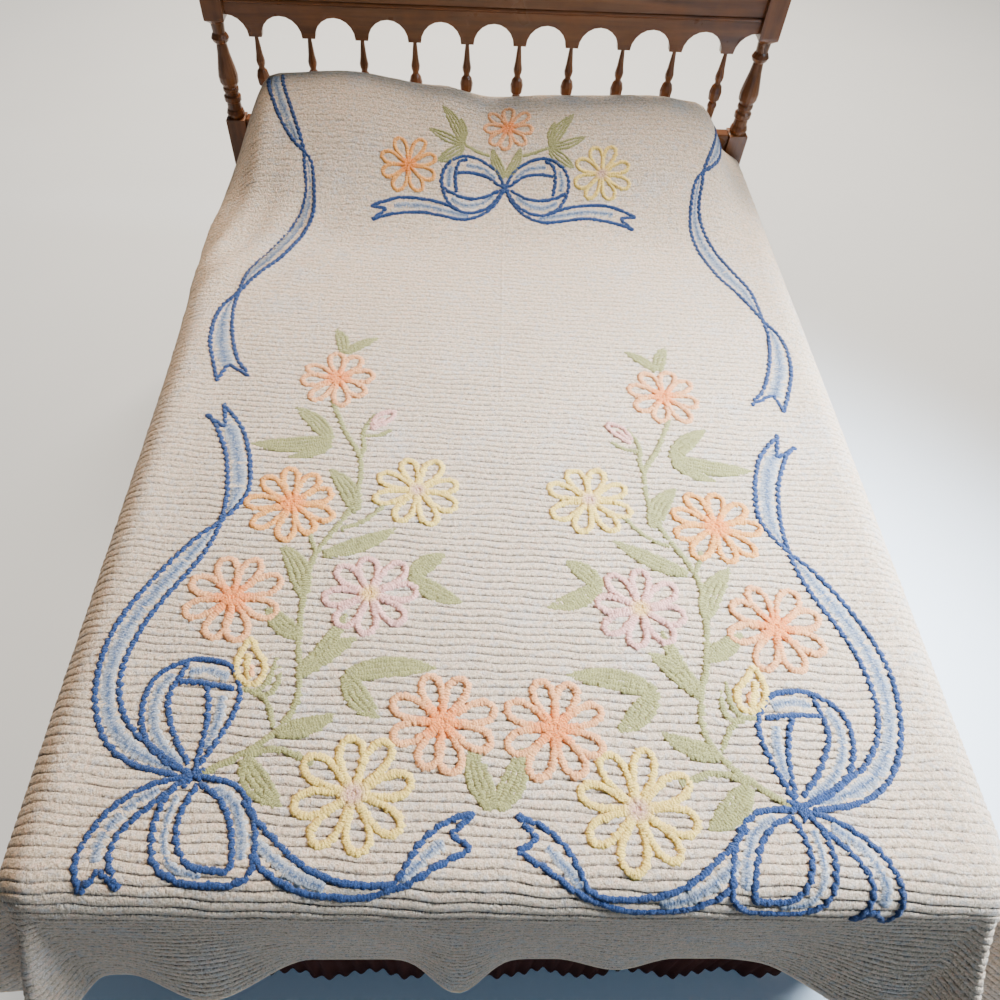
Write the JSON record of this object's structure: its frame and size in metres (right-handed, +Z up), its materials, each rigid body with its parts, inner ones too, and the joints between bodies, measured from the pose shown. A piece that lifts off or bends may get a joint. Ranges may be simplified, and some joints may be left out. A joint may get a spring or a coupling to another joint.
{
  "type": "chenille bedspread on a double bed",
  "caption": "Tufted chenille bedspread draped over the pillows, mattress and foot of a double bed with a turned-spindle wooden headboard and a bed skirt.",
  "frame": {"origin": "floor level, under the middle of the whole bed", "axes": "+Z up, +Y from the foot towards the headboard, +X to the right of a person standing at the foot and facing the headboard"},
  "size_m": [1.7504, 2.1486, 1.0105],
  "materials": {
    "chenille": "matte",
    "brown_cloth": "matte",
    "ticking": "matte",
    "pillow_cloth": "matte",
    "dark_wood": "satin",
    "frame_wood": "matte",
    "steel": "satin"
  },
  "bodies": {
    "root": {"bedspread": "chenille", "bed_skirt": "brown_cloth", "mattress": "ticking", "box_spring": "ticking", "pillow_left": "pillow_cloth", "pillow_right": "pillow_cloth", "headboard_apron": "dark_wood", "headboard_bead": "dark_wood", "headboard_cap": "dark_wood", "headboard_lower_rail": "dark_wood", "headboard_post_left": "dark_wood", "headboard_post_right": "dark_wood", "headboard_top_board": "dark_wood", "spindle_01": "dark_wood", "spindle_02": "dark_wood", "spindle_03": "dark_wood", "spindle_04": "dark_wood", "spindle_05": "dark_wood", "spindle_06": "dark_wood", "spindle_07": "dark_wood", "spindle_08": "dark_wood", "spindle_09": "dark_wood", "spindle_10": "dark_wood", "foot_leg_left": "frame_wood", "foot_leg_right": "frame_wood", "side_rail_left": "frame_wood", "side_rail_right": "frame_wood", "slat_1": "frame_wood", "slat_2": "frame_wood", "slat_3": "frame_wood", "slat_4": "frame_wood", "headboard_bracket_left": "steel", "headboard_bracket_right": "steel"}
  },
  "joints": []
}
